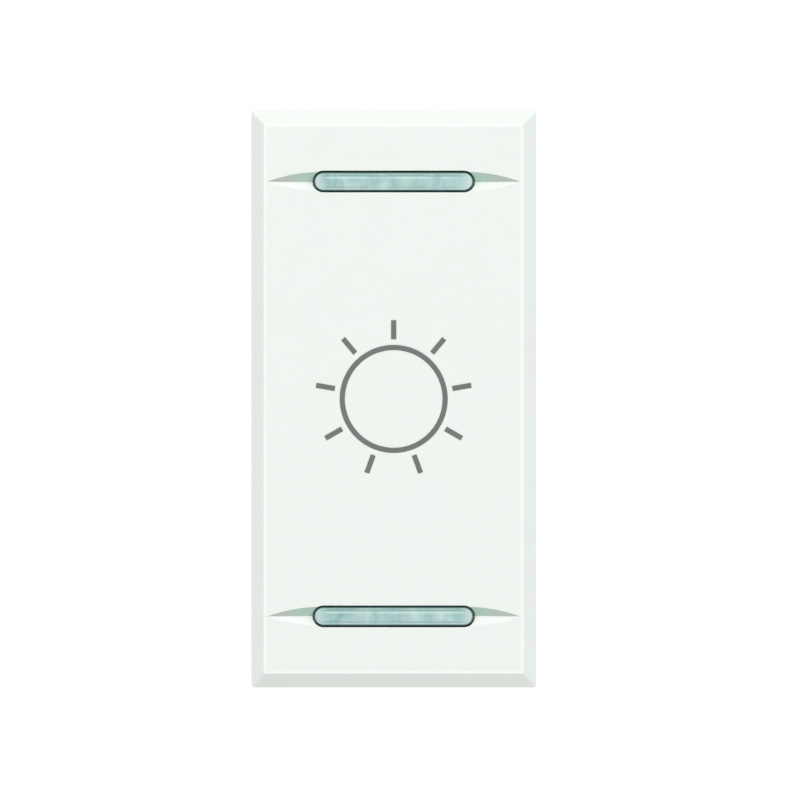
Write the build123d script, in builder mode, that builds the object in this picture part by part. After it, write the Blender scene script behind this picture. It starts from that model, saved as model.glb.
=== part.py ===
"""One-module wall dimmer with a bevelled rocking key, two light windows and a sun symbol.

Frame, in millimetres: X to the right, Y into the wall, Z up. Y = 0 is the plane where the
carrier frame seats on a support frame, and X = Z = 0 is the centre of the module.
"""

import math
import os

from build123d import *

os.makedirs("parts", exist_ok=True)

# ---------------------------------------------------------------- driving dimensions

# Key cover
key_width = 22.2
key_height = 45.0
key_front = -10.0
key_rear = -3.0
side_bevel = 1.0
end_bevel = 1.15
bevel_depth = 1.0
key_wall = 1.2
key_face = 1.6
corner_round = 0.25
face_corner_round = 0.1
edge_round = 0.14
rib_x = 8.2
rib_z = (15.0, 21.3)
rib_rear = -7.6

# Light windows, one near each end of the key
window_z = 16.9
window_length = 12.6
window_height = 1.68
window_gap = 0.08
window_front = key_front + 0.04
window_flange = 0.6
window_flange_thickness = 0.8
window_rear = -6.7
window_edge = 0.16
prong_length = 10.4

# V-grooves that run out on both sides of each window
groove_depth = 0.56
groove_half_width = 0.75
groove_straight = 11.3
groove_length = 19.7

# Sun symbol
sun_ring_radius = 4.0
sun_stroke = 0.4
sun_ray_inner = 4.64
sun_ray_outer = 6.12
sun_ray_count = 9
ink_depth = 0.06
ink_proud = 0.005

# Rocker that carries the key
pivot_y = -3.6
trunnion_radius = 1.4
running_clearance = 0.05
rocker_width = 17.2
rocker_height = 26.8
rocker_front = -8.3
rocker_rear = -6.5
ear_x = (6.3, 7.7)
ear_radius = 1.9
nub_radius = 1.0
nub_length = 4.8
hook_x = 5.0
hook_z = 11.2
hook_width = 2.2
hook_catch = 0.35

# Push pins and their return springs
pin_z = 9.0
pin_radius = 1.5
pin_head_radius = 2.5
pin_head = (-4.98, -4.08)
pin_tail = 2.45
pin_collar = (2.02, 1.9)
spring_wire = 0.35
spring_radius = 1.95
spring_turns = 4.5

# Carrier frame
frame_width = 22.2
frame_height = 44.8
frame_wall = 1.5
upstand_front = -4.4
upstand_x = (8.0, 9.3)
upstand_z = (19.1, 20.4)
collar_rear = 6.0
support_thickness = 2.2
lug_half_width = 4.2
lug_reach = 1.1
tongue_slot_x = 5.2
frame_barb_z = 10.0
post_half_height = 3.4
stop_z = (12.2, 13.4)
pillar_x = 8.3
pillar_z = 15.4

# Case
case_x = 10.8
case_z = 20.1
case_wall = 1.5
case_rear = 30.0
cover_rear = 31.5
case_corner = 0.6
collar_wall = 0.9
inner_x = case_x - case_wall
inner_z = case_z - case_wall

# Boards
control_board_y = (4.0, 5.2)
control_board_half = (9.0, 18.3)
power_board_x = (-8.9, -7.7)
power_board_y = (6.2, 21.2)
power_board_half_z = 17.8
lead_end_x = -9.15

# Terminals: distances are measured inwards from the case's end wall
terminal_x = 4.9
terminal_y = 25.8
screw_head = (1.6, 3.2)
screw_head_radius = 2.5
screw_radius = 1.7
screw_pitch = 0.6
thread_depth = 0.22
contact_depth = (7.45, 8.45)
contact_width = 4.2
clamp_depth = (5.4, 12.05)
clamp_top = 1.5
clamp_bottom = 1.2
clamp_width = 6.6
clamp_length = 6.0
clamp_side = 1.0
wire_depth = 9.65
wire_radius = 1.6
strip_length = 8.0


# ---------------------------------------------------------------- helpers


def facing_front(y):
    """The plane at depth y with X right and Z up; extruding from it goes forward, to -Y."""
    return Plane.XZ.offset(-y)


def block(x, y, z, mode=Mode.ADD):
    """A box between two values on each axis."""
    spans = [sorted(span) for span in (x, y, z)]
    middle = [sum(span) / 2 for span in spans]
    size = [high - low for low, high in spans]
    with Locations(tuple(middle)):
        return Box(*size, mode=mode)


def rod(radius, start, end, mode=Mode.ADD):
    """A round bar from start to end."""
    along = Vector(end) - Vector(start)
    with Locations(Plane(origin=start, z_dir=along)):
        return Cylinder(
            radius, along.length, align=(Align.CENTER, Align.CENTER, Align.MIN), mode=mode
        )


def around(middle, width):
    """The two ends of a width centred on middle."""
    return (middle - width / 2, middle + width / 2)


def save(piece, label):
    """Labels a finished piece and writes it as parts/label.step."""
    piece.part.label = label
    export_step(piece.part, f"parts/{label}.step")


# ---------------------------------------------------------------- key cover and windows


def sun_outline(y):
    """The ring and rays, drawn at depth y."""
    ray_length = sun_ray_outer - sun_ray_inner
    with BuildSketch(facing_front(y)) as sun:
        Circle(sun_ring_radius + sun_stroke / 2)
        Circle(sun_ring_radius - sun_stroke / 2, mode=Mode.SUBTRACT)
        with PolarLocations((sun_ray_inner + sun_ray_outer) / 2, sun_ray_count, start_angle=90):
            Rectangle(ray_length, sun_stroke)
    return sun.sketch


def groove_profile(x, z):
    """The V section of a window groove at X = x, wide enough to reach past the key's face."""
    past = 1.25
    tip = key_front + groove_depth
    mouth = tip - groove_depth * past
    half = groove_half_width * past
    with BuildSketch(Plane.YZ.offset(x)) as profile:
        with BuildLine():
            Polyline((tip, z), (mouth, z + half), (mouth, z - half), close=True)
        make_face()
    return profile.sketch


with BuildPart() as key_cover:
    bevel_rear = key_front + bevel_depth
    with BuildSketch(facing_front(key_rear)):
        RectangleRounded(key_width, key_height, corner_round)
    extrude(amount=key_rear - bevel_rear)
    # bevelled front with mitred corners, wider at the top and bottom than at the sides
    with BuildSketch(facing_front(bevel_rear)):
        RectangleRounded(key_width, key_height, corner_round)
    with BuildSketch(facing_front(key_front)):
        RectangleRounded(
            key_width - 2 * side_bevel, key_height - 2 * end_bevel, face_corner_round
        )
    loft(ruled=True)
    fillet(key_cover.faces().sort_by(Axis.Y)[0].edges(), radius=edge_round)
    # hollow behind the face
    with BuildSketch(facing_front(key_rear)):
        Rectangle(key_width - 2 * key_wall, key_height - 2 * key_wall)
    extrude(amount=key_rear - key_front - key_face, mode=Mode.SUBTRACT)
    run_out = (groove_length - groove_straight) / 2
    groove_radius = (run_out**2 + groove_depth**2) / (2 * groove_depth)
    for z in (window_z, -window_z):
        # full-depth middle of the V-groove, then a run-out cut by a V-edged disc at each end
        extrude(
            groove_profile(-groove_straight / 2, z), amount=groove_straight, mode=Mode.SUBTRACT
        )
        for x in (-groove_straight / 2, groove_straight / 2):
            disc_axis = Axis((x, key_front + groove_depth - groove_radius, 0), (0, 0, 1))
            revolve(groove_profile(x, z), axis=disc_axis, mode=Mode.SUBTRACT)
    # through slots for the windows
    with BuildSketch(facing_front(key_front + key_face)):
        with Locations((0, window_z), (0, -window_z)):
            SlotOverall(window_length, window_height)
    extrude(amount=2 * key_face, mode=Mode.SUBTRACT)
    # shallow recess that holds the printed symbol
    extrude(sun_outline(key_front + ink_depth), amount=2 * ink_depth, mode=Mode.SUBTRACT)
    # stiffening ribs on the back of the face
    for x in (-rib_x, rib_x):
        for up in (-1, 1):
            block(around(x, 0.8), (key_front + key_face, rib_rear), (up * rib_z[0], up * rib_z[1]))
    # four snap hooks that catch behind the rocker
    hook_root = key_front + key_face - 0.1
    hook_tip = rocker_rear + 1.0
    catch_front = rocker_rear + 0.03
    hook_inner = hook_x - 0.1
    hook_outer = hook_x + 1.0
    for side in (-1, 1):
        for z in (hook_z, -hook_z):
            with BuildSketch(Plane.XY.offset(z - hook_width / 2)):
                with BuildLine():
                    Polyline(
                        (side * hook_inner, hook_root),
                        (side * hook_inner, hook_tip),
                        (side * (hook_outer - 0.3), hook_tip),
                        (side * (hook_outer + hook_catch), rocker_rear + 0.35),
                        (side * (hook_outer + hook_catch), catch_front),
                        (side * hook_outer, catch_front),
                        (side * hook_outer, hook_root),
                        close=True,
                    )
                make_face()
            extrude(amount=hook_width)
save(key_cover, "key_cover")

with BuildPart() as sun_symbol:
    extrude(sun_outline(key_front + ink_depth), amount=ink_depth + ink_proud)
save(sun_symbol, "sun_symbol")


def window(z):
    """A clear light window: front lens, retaining flange and a prong facing the light guide."""
    flange_front = key_front + key_face
    with BuildPart() as lens:
        with BuildSketch(facing_front(flange_front)):
            with Locations((0, z)):
                SlotOverall(window_length - 2 * window_gap, window_height - 2 * window_gap)
        extrude(amount=flange_front - window_front)
        fillet(lens.faces().sort_by(Axis.Y)[0].edges(), radius=window_edge)
        with BuildSketch(facing_front(flange_front + window_flange_thickness)):
            with Locations((0, z)):
                SlotOverall(
                    window_length + 2 * window_flange, window_height + 2 * window_flange
                )
        extrude(amount=window_flange_thickness)
        block(around(0, prong_length), (flange_front, window_rear), around(z, 1.3))
    return lens


for label, z in (("upper_window", window_z), ("lower_window", -window_z)):
    save(window(z), label)

# ---------------------------------------------------------------- rocker

with BuildPart() as rocker:
    with BuildSketch(facing_front(rocker_rear)):
        RectangleRounded(rocker_width, rocker_height, 1.2)
        # lightening windows and the slots the key's hooks snap through
        with Locations((0, 5.0), (0, -5.0)):
            RectangleRounded(7.0, 3.6, 0.6, mode=Mode.SUBTRACT)
        with GridLocations(2 * hook_x + 0.8, 2 * hook_z, 2, 2):
            Rectangle(1.4, 2.6, mode=Mode.SUBTRACT)
    extrude(amount=rocker_rear - rocker_front)
    # shallow front tray that leaves a raised rim and a cross rib
    with BuildSketch(facing_front(rocker_front + 0.7)):
        with Locations((0, rocker_height / 4), (0, -rocker_height / 4)):
            RectangleRounded(rocker_width - 2.4, rocker_height / 2 - 2.4, 0.8)
    extrude(amount=1.0, mode=Mode.SUBTRACT)
    for side in (-1, 1):
        # ear with a round end about the pivot, and its trunnion
        ear_plane = Plane.YZ.offset(ear_x[0] if side > 0 else -ear_x[1])
        with BuildSketch(ear_plane):
            with Locations((pivot_y, 0)):
                Circle(ear_radius)
            with Locations(((rocker_rear + pivot_y) / 2, 0)):
                Rectangle(pivot_y - rocker_rear, 2 * ear_radius)
        extrude(amount=ear_x[1] - ear_x[0])
        rod(
            trunnion_radius,
            (side * ear_x[1], pivot_y, 0),
            (side * (upstand_x[1] - 0.1), pivot_y, 0),
        )
    for z in (pin_z, -pin_z):
        # nub that bears on the push pin's head
        nub_y = pin_head[0] - 0.02 - nub_radius
        nub_ends = around(0, nub_length)
        rod(nub_radius, (nub_ends[0], nub_y, z), (nub_ends[1], nub_y, z))
        block(nub_ends, (nub_y, rocker_rear), around(z, 2 * nub_radius))
save(rocker, "rocker")

# ---------------------------------------------------------------- push pins and springs


def push_pin(z):
    """A pin whose head rides on the rocker and whose tail works the dome switch."""
    collar_front, collar_radius = pin_collar
    with BuildPart() as pin:
        rod(pin_head_radius, (0, pin_head[0], z), (0, pin_head[1], z))
        fillet(pin.edges().sort_by(Axis.Y)[0], radius=0.2)
        rod(pin_radius, (0, pin_head[1], z), (0, pin_tail, z))
        rod(collar_radius, (0, collar_front, z), (0, pin_tail, z))
    return pin


def return_spring(z):
    """A compression spring between the pin's head and the carrier frame's front wall."""
    wire = spring_wire / 2
    start = pin_head[1] + wire
    height = -frame_wall - wire - start
    with BuildPart() as spring:
        with BuildLine():
            coil = Helix(
                pitch=height / spring_turns,
                height=height,
                radius=spring_radius,
                center=(0, start, z),
                direction=(0, 1, 0),
            )
        with BuildSketch(Plane(origin=coil @ 0, z_dir=coil % 0)):
            Circle(wire)
        sweep(is_frenet=True)
    return spring


for level, z in (("upper", pin_z), ("lower", -pin_z)):
    save(push_pin(z), f"{level}_push_pin")
    save(return_spring(z), f"{level}_return_spring")

# ---------------------------------------------------------------- carrier frame

guide_length = 10.2
guide_height = 1.7

with BuildPart() as carrier_frame:
    with BuildSketch(facing_front(0)):
        RectangleRounded(frame_width, frame_height, 0.8)
    extrude(amount=frame_wall)
    chamfer(carrier_frame.faces().sort_by(Axis.Y)[0].edges(), length=0.25)
    # upstand inside the key's skirt
    with BuildSketch(facing_front(-frame_wall)):
        RectangleRounded(2 * upstand_x[1], 2 * upstand_z[1], 0.8)
        Rectangle(2 * upstand_x[0], 2 * upstand_z[0], mode=Mode.SUBTRACT)
    extrude(amount=-frame_wall - upstand_front)
    upstand_rim = carrier_frame.faces().sort_by(Axis.Y)[0]
    chamfer(upstand_rim.outer_wire().edges(), length=0.2)
    # collar that receives the case
    with BuildSketch(facing_front(collar_rear)):
        RectangleRounded(2 * case_x, 2 * case_z, case_corner)
        Rectangle(2 * (case_x - collar_wall), 2 * (case_z - collar_wall), mode=Mode.SUBTRACT)
    extrude(amount=collar_rear)
    for side in (-1, 1):
        # bearing post for a trunnion
        block(
            (side * upstand_x[0], side * upstand_x[1]),
            (-5.7, -frame_wall),
            around(0, 2 * post_half_height),
        )
        # windows for the case's snap barbs
        for z in (frame_barb_z, -frame_barb_z):
            block(
                (side * (case_x - 1.2), side * (case_x + 0.2)),
                (3.6, 5.2),
                around(z, 5.0),
                mode=Mode.SUBTRACT,
            )
        # end stop for the rocker
        block((-3.0, 3.0), (-5.77, -frame_wall), (side * stop_z[0], side * stop_z[1]))
        # snap lug for the support frame, on a tongue cut free by two slots
        for x in (-tongue_slot_x, tongue_slot_x):
            block(
                around(x, 0.7),
                (1.0, collar_rear),
                (side * (case_z - 1.2), side * (case_z + 0.2)),
                mode=Mode.SUBTRACT,
            )
        with BuildSketch(Plane.YZ.offset(-lug_half_width)):
            with BuildLine():
                Polyline(
                    (support_thickness, side * (case_z - 0.1)),
                    (support_thickness, side * (case_z + lug_reach)),
                    (support_thickness + 0.6, side * (case_z + lug_reach)),
                    (support_thickness + 2.6, side * (case_z - 0.1)),
                    close=True,
                )
            make_face()
        extrude(amount=2 * lug_half_width)
    rod(
        trunnion_radius + running_clearance,
        (-upstand_x[1] - 0.1, pivot_y, 0),
        (upstand_x[1] + 0.1, pivot_y, 0),
        mode=Mode.SUBTRACT,
    )
    # guide sleeves for the push pins
    for z in (pin_z, -pin_z):
        rod(2.6, (0, 0, z), (0, 1.5, z))
        rod(
            pin_radius + running_clearance,
            (0, -frame_wall - 0.1, z),
            (0, 1.6, z),
            mode=Mode.SUBTRACT,
        )
    # slots for the light guides
    with BuildSketch(facing_front(0.5)):
        with Locations((0, window_z), (0, -window_z)):
            SlotOverall(guide_length + 0.1, guide_height + 0.1)
    extrude(amount=3, mode=Mode.SUBTRACT)
    # pillars that stop the control board
    for x in (-pillar_x, pillar_x):
        for z in (-pillar_z, pillar_z):
            block(around(x, 1.6), (0, control_board_y[0] - 0.05), around(z, 1.6))
save(carrier_frame, "carrier_frame")

# ---------------------------------------------------------------- light guides and LEDs


def light_guide(z):
    """A clear bar from the LED to just behind the window, with a flange on the frame."""
    with BuildPart() as guide:
        with BuildSketch(facing_front(0.3)):
            with Locations((0, z)):
                SlotOverall(guide_length, guide_height)
        extrude(amount=0.3 + 5.4)
        with BuildSketch(facing_front(-frame_wall)):
            with Locations((0, z)):
                SlotOverall(guide_length + 1.2, guide_height + 0.9)
        extrude(amount=0.6)
        # taper down to the LED
        with BuildSketch(facing_front(0.3)):
            with Locations((0, z)):
                Rectangle(8.0, 1.5)
        with BuildSketch(facing_front(2.6)):
            with Locations((0, z)):
                Rectangle(3.4, 1.4)
        loft()
    return guide


def led(z):
    """A surface-mount LED with a raised lens."""
    with BuildPart() as package:
        block((-1.5, 1.5), (2.9, control_board_y[0]), around(z, 1.4))
        block((-1.1, 1.1), (2.7, 2.9), around(z, 1.0))
    return package


for level, z in (("upper", window_z), ("lower", -window_z)):
    save(light_guide(z), f"{level}_light_guide")
    save(led(z), f"{level}_led")

# ---------------------------------------------------------------- dome switches

dome_rim_y = 3.2
dome_rim_radius = 2.5
dome_height = 0.45
dome_thickness = 0.1
switch_width = 6.2
switch_front = 3.0


def switch_base(z):
    """A shallow square switch body with a round well for the dome and four leads."""
    with BuildPart() as base:
        block(around(0, switch_width), (switch_front, control_board_y[0]), around(z, switch_width))
        rod(
            dome_rim_radius + running_clearance,
            (0, switch_front, z),
            (0, dome_rim_y, z),
            mode=Mode.SUBTRACT,
        )
        for x in (-3.5, 3.5):
            for dz in (-2.2, 2.2):
                block(around(x, 0.8), (3.75, control_board_y[0]), around(z + dz, 0.7))
    return base


def dome(z):
    """A snap dome: a thin spherical cap whose rim rests in the switch's well."""
    rim = dome_rim_radius
    inner_rim = rim - dome_thickness
    inner_height = dome_height - dome_thickness
    with BuildPart() as cap:
        with BuildSketch(Plane(origin=(0, dome_rim_y, z), z_dir=(0, 0, 1))):
            with BuildLine():
                ThreePointArc((-rim, 0), (0, -dome_height), (rim, 0))
                Line((rim, 0), (inner_rim, 0))
                ThreePointArc((inner_rim, 0), (0, -inner_height), (-inner_rim, 0))
                Line((-inner_rim, 0), (-rim, 0))
            make_face()
            with Locations((rim, 0)):
                Rectangle(2 * rim, 4 * rim, mode=Mode.INTERSECT)
        revolve(axis=Axis((0, dome_rim_y, z), (0, 1, 0)))
    return cap


for level, z in (("upper", pin_z), ("lower", -pin_z)):
    save(switch_base(z), f"{level}_switch_base")
    save(dome(z), f"{level}_dome")

# ---------------------------------------------------------------- control board and its parts

header_x = -6.4
header_y = 7.0
header_z = [2.0 * n for n in range(-2, 3)]
electrolytic_x = 2.2
electrolytic_z = -13.0

with BuildPart() as control_board:
    with BuildSketch(facing_front(control_board_y[1])):
        RectangleRounded(2 * control_board_half[0], 2 * control_board_half[1], 0.5)
        with Locations(*[(header_x, z) for z in header_z]):
            Circle(0.42, mode=Mode.SUBTRACT)
        with Locations(
            (electrolytic_x - 1, electrolytic_z), (electrolytic_x + 1, electrolytic_z)
        ):
            Circle(0.35, mode=Mode.SUBTRACT)
    extrude(amount=control_board_y[1] - control_board_y[0])
save(control_board, "control_board")

with BuildPart() as header_pins:
    for z in header_z:
        # right-angle pin from the control board to the power board
        block(around(header_x, 0.5), (3.5, header_y + 0.25), around(z, 0.5))
        block((lead_end_x, header_x), around(header_y, 0.5), around(z, 0.5))
save(header_pins, "header_pins")

with BuildPart() as header_strip:
    block(around(header_x, 2.0), (control_board_y[1], 6.4), around(0, 10.0))
    for z in header_z:
        block(around(header_x, 0.5), (control_board_y[0], 7.0), around(z, 0.5), Mode.SUBTRACT)
save(header_strip, "header_strip")

with BuildPart() as microcontroller:
    chip_x = 2.6
    chip_z = 5.5
    block(around(chip_x, 3.9), (5.35, 6.8), around(chip_z, 4.9))
    chamfer(microcontroller.faces().sort_by(Axis.Y)[-1].edges(), length=0.2)
    for z in [chip_z + 1.27 * (n - 1.5) for n in range(4)]:
        for side in (-1, 1):
            block(
                (chip_x + side * 1.9, chip_x + side * 2.35), (5.95, 6.15), around(z, 0.42)
            )
            block(
                (chip_x + side * 2.2, chip_x + side * 2.4),
                (control_board_y[1], 6.15),
                around(z, 0.42),
            )
            block(
                (chip_x + side * 2.2, chip_x + side * 3.0),
                (control_board_y[1], 5.4),
                around(z, 0.42),
            )
save(microcontroller, "microcontroller")

with BuildPart() as chip_resistors:
    for x in (-3.0, 0.4):
        for z in (-7.6, -5.6, -3.6):
            block(around(x, 2.0), (control_board_y[1], 5.7), around(z, 1.25))
save(chip_resistors, "chip_resistors")

with BuildPart() as chip_capacitors:
    for z in (9.6, 12.0, 14.4):
        block(around(3.4, 2.0), (control_board_y[1], 6.0), around(z, 1.25))
save(chip_capacitors, "chip_capacitors")

with BuildPart() as electrolytic_capacitor:
    # can profile with a crimp groove near its base and a rolled rim
    base = control_board_y[1]
    with BuildSketch(Plane(origin=(electrolytic_x, base, electrolytic_z), z_dir=(0, 0, 1))):
        with BuildLine():
            Polyline(
                (0, 0), (2.3, 0), (2.5, 0.2), (2.5, 0.9), (2.25, 1.1), (2.5, 1.3),
                (2.5, 6.8), (2.3, 7.0), (1.9, 7.0), (1.8, 6.85), (0, 6.85), close=True,
            )
        make_face()
    revolve(axis=Axis((electrolytic_x, base, electrolytic_z), (0, 1, 0)))
    for x in (-1, 1):
        rod(
            0.25,
            (electrolytic_x + x, base, electrolytic_z),
            (electrolytic_x + x, 3.6, electrolytic_z),
        )
save(electrolytic_capacitor, "electrolytic_capacitor")

# ---------------------------------------------------------------- power board components

board_face = power_board_x[1]
choke_centre = (-4.2, 12.6, 10.2)
choke_core_radius = (2.7, 5.3)
choke_half_thickness = 2.3
wire_diameter = 0.7
winding_turns = 15
winding_gap = 48.0
fuse_centre = (-4.0, 10.2)
fuse_radius = 2.6
glass_radius = (1.75, 2.35)
fuse_z = (-17.3, 2.7)
fuse_cap_length = 5.2
film_x = (board_face + 0.1, 3.0)
film_y = (13.4, 18.8)
film_z = (-16.8, -3.8)
triac_x = 2.1
triac_y = 16.0
tab_x = (5.3, 6.6)
triac_z = (1.0, 10.2)
tab_top = 16.9
rivet_z = 14.1
lead_pitch = 2.54
lead_x = 4.15
lead_z = -2.2
pad_thickness = 0.2
sink_x = (tab_x[1] + pad_thickness, tab_x[1] + pad_thickness + 1.5)

with BuildPart() as choke_core:
    with BuildSketch(Plane.YZ.offset(choke_centre[0] - choke_half_thickness)):
        with Locations((choke_centre[1], choke_centre[2])):
            Circle(choke_core_radius[1])
            Circle(choke_core_radius[0], mode=Mode.SUBTRACT)
    extrude(amount=2 * choke_half_thickness)
    fillet(choke_core.edges().filter_by(GeomType.CIRCLE), radius=0.4)
save(choke_core, "choke_core")

winding_angles = [
    winding_gap / 2 + n * (360 - winding_gap) / (winding_turns - 1)
    for n in range(winding_turns)
]
winding_radius = wire_diameter / 2
turn_clearance = winding_radius + 0.03
turn_radial = choke_core_radius[1] - choke_core_radius[0] + 2 * turn_clearance
turn_width = 2 * (choke_half_thickness + turn_clearance)
turn_middle = (choke_core_radius[0] + choke_core_radius[1]) / 2


def around_choke(angle, radius):
    """A point (Y, Z) at a radius from the choke's centre; angle 0 is straight down."""
    turn = math.radians(angle)
    return (
        choke_centre[1] + radius * math.sin(turn),
        choke_centre[2] - radius * math.cos(turn),
    )


with BuildPart() as choke_winding:
    for angle in winding_angles:
        # one turn: round wire on a rounded rectangle about the core's section
        y, z = around_choke(angle, turn_middle)
        outward = (0, math.sin(math.radians(angle)), -math.cos(math.radians(angle)))
        across = Vector(1, 0, 0).cross(Vector(*outward))
        turn_plane = Plane(origin=(choke_centre[0], y, z), x_dir=outward, z_dir=across)
        with BuildSketch(turn_plane, mode=Mode.PRIVATE) as turn_outline:
            RectangleRounded(turn_radial, turn_width, 0.7)
        turn_path = turn_outline.sketch.face().outer_wire()
        start = turn_path @ 0
        with BuildSketch(Plane(origin=start, z_dir=turn_path % 0)):
            Circle(winding_radius)
        sweep(path=turn_path)
    for angle in (winding_angles[0], winding_angles[-1]):
        y, z = around_choke(angle, choke_core_radius[1] + turn_clearance)
        wire_start = choke_centre[0] - turn_width / 2 - winding_radius
        rod(winding_radius, (wire_start, y, z), (lead_end_x, y, z))
save(choke_winding, "choke_winding")

with BuildPart() as film_capacitor:
    block(film_x, film_y, film_z)
    fillet(film_capacitor.edges(), radius=0.4)
    film_leads = [(sum(film_y) / 2, z) for z in (film_z[0] + 1.5, film_z[1] - 1.5)]
    for y, z in film_leads:
        rod(0.3, (film_x[0], y, z), (lead_end_x, y, z))
save(film_capacitor, "film_capacitor")

fuse_x, fuse_y = fuse_centre
with BuildPart() as fuse_glass:
    rod(glass_radius[1], (fuse_x, fuse_y, fuse_z[0] + 0.4), (fuse_x, fuse_y, fuse_z[1] - 0.4))
    rod(
        glass_radius[0],
        (fuse_x, fuse_y, fuse_z[0] + 0.3),
        (fuse_x, fuse_y, fuse_z[1] - 0.3),
        mode=Mode.SUBTRACT,
    )
save(fuse_glass, "fuse_glass")

with BuildPart() as fuse_caps:
    for end, inward in ((fuse_z[0], 1), (fuse_z[1], -1)):
        rod(fuse_radius, (fuse_x, fuse_y, end), (fuse_x, fuse_y, end + inward * fuse_cap_length))
        rod(
            glass_radius[1] + 0.01,
            (fuse_x, fuse_y, end + inward * 0.35),
            (fuse_x, fuse_y, end + inward * (fuse_cap_length + 0.1)),
            mode=Mode.SUBTRACT,
        )
save(fuse_caps, "fuse_caps")

with BuildPart() as fuse_wire:
    rod(0.15, (fuse_x, fuse_y, fuse_z[0] + 0.36), (fuse_x, fuse_y, fuse_z[1] - 0.36))
save(fuse_wire, "fuse_wire")

clip_width = 3.2
clip_middles = (fuse_z[0] + 2.4, fuse_z[1] - 2.0)
with BuildPart() as fuse_clips:
    for z in clip_middles:
        # spring clip: a C about the cap, open away from the board, on a soldered foot
        with BuildSketch(Plane.XY.offset(z - clip_width / 2)):
            with Locations(fuse_centre):
                Circle(3.0)
                Circle(fuse_radius + 0.02, mode=Mode.SUBTRACT)
            with Locations((fuse_x + 2.6, fuse_y)):
                Rectangle(2.4, 4.0, mode=Mode.SUBTRACT)
            with Locations(((board_face + fuse_x - 2.8) / 2, fuse_y)):
                Rectangle(fuse_x - 2.8 - board_face, 3.0)
        extrude(amount=clip_width)
        rod(0.4, (board_face + 0.1, fuse_y, z), (lead_end_x, fuse_y, z))
save(fuse_clips, "fuse_clips")

with BuildPart() as triac_body:
    block((triac_x, tab_x[0]), around(triac_y, 10.0), triac_z)
    chamfer(triac_body.faces().sort_by(Axis.X)[0].edges(), length=0.4)
save(triac_body, "triac_body")

triac_leads = [triac_y + n * lead_pitch for n in (-1, 0, 1)]
with BuildPart() as triac_leadframe:
    block(tab_x, around(triac_y, 10.0), (triac_z[0], tab_top))
    rod(1.8, (tab_x[0] - 1, triac_y, rivet_z), (tab_x[1] + 1, triac_y, rivet_z), Mode.SUBTRACT)
    for y in triac_leads:
        block(around(lead_x, 0.5), around(y, 0.8), (lead_z - 0.25, triac_z[0]))
        block((lead_end_x, lead_x), around(y, 0.8), around(lead_z, 0.5))
save(triac_leadframe, "triac_leadframe")

with BuildPart() as insulating_pad:
    block((tab_x[1], sink_x[0]), around(triac_y, 10.3), (triac_z[0] - 0.15, tab_top + 0.15))
    rod(1.8, (tab_x[1] - 1, triac_y, rivet_z), (sink_x[1], triac_y, rivet_z), Mode.SUBTRACT)
save(insulating_pad, "insulating_pad")

sink_half_z = 17.5
sink_y = (6.8, 19.0, 21.2)
with BuildPart() as heat_sink:
    # stepped aluminium plate: full depth behind the triac, cut back beside the load contact
    with BuildSketch(Plane.YZ.offset(sink_x[0])):
        with BuildLine():
            Polyline(
                (sink_y[0], -sink_half_z), (sink_y[1], -sink_half_z), (sink_y[1], 0),
                (sink_y[2], 0), (sink_y[2], sink_half_z), (sink_y[0], sink_half_z), close=True,
            )
        make_face()
    extrude(amount=sink_x[1] - sink_x[0])
    rod(1.7, (sink_x[0] - 1, triac_y, rivet_z), (sink_x[1] + 1, triac_y, rivet_z), Mode.SUBTRACT)
save(heat_sink, "heat_sink")

with BuildPart() as triac_rivet:
    rod(1.6, (tab_x[0] - 0.5, triac_y, rivet_z), (sink_x[1] + 0.2, triac_y, rivet_z))
    rod(2.8, (tab_x[0] - 0.8, triac_y, rivet_z), (tab_x[0], triac_y, rivet_z))
    rod(2.8, (sink_x[1], triac_y, rivet_z), (sink_x[1] + 0.7, triac_y, rivet_z))
    fillet(triac_rivet.edges().sort_by(Axis.X)[0], radius=0.4)
    fillet(triac_rivet.edges().sort_by(Axis.X)[-1], radius=0.4)
save(triac_rivet, "triac_rivet")

# ---------------------------------------------------------------- terminals


def from_end(depth, up):
    """The Z of a depth measured inwards from the case's end wall; up is 1 or -1."""
    return up * (case_z - depth)


def contact_strip(x, up):
    """The straight strip that passes through a terminal's clamp."""
    z = (from_end(contact_depth[0], up), from_end(contact_depth[1], up))
    return block(around(x, contact_width), (contact_front, contact_rear), z)


def terminal_screw(x, up):
    """A slotted screw with ring grooves for its thread, on the Z axis."""
    head_z, neck_z = (from_end(depth, up) for depth in screw_head)
    length = contact_depth[0] - 0.03 - screw_head[1]
    root = screw_radius - thread_depth
    pitches = int((length - 0.5) / screw_pitch)
    points = [(0, 0), (root, 0)]
    for n in range(pitches):
        top = 0.15 + n * screw_pitch
        points += [(root, top), (screw_radius, top + 0.3), (root, top + 0.55)]
    points += [(root, length - 0.4), (root - 0.4, length), (0, length)]
    with BuildPart() as screw:
        with BuildSketch(Plane(origin=(x, terminal_y, neck_z), x_dir=(1, 0, 0), z_dir=(0, up, 0))):
            with BuildLine():
                Polyline(*points, close=True)
            make_face()
        revolve(axis=Axis((x, terminal_y, 0), (0, 0, 1)))
        rod(screw_head_radius, (x, terminal_y, head_z), (x, terminal_y, neck_z))
        for wide, long in ((0.8, 6.0), (3.0, 0.8)):
            block(
                around(x, wide),
                around(terminal_y, long),
                (head_z + up * 0.1, head_z - up * 0.9),
                mode=Mode.SUBTRACT,
            )
    return screw


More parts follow.
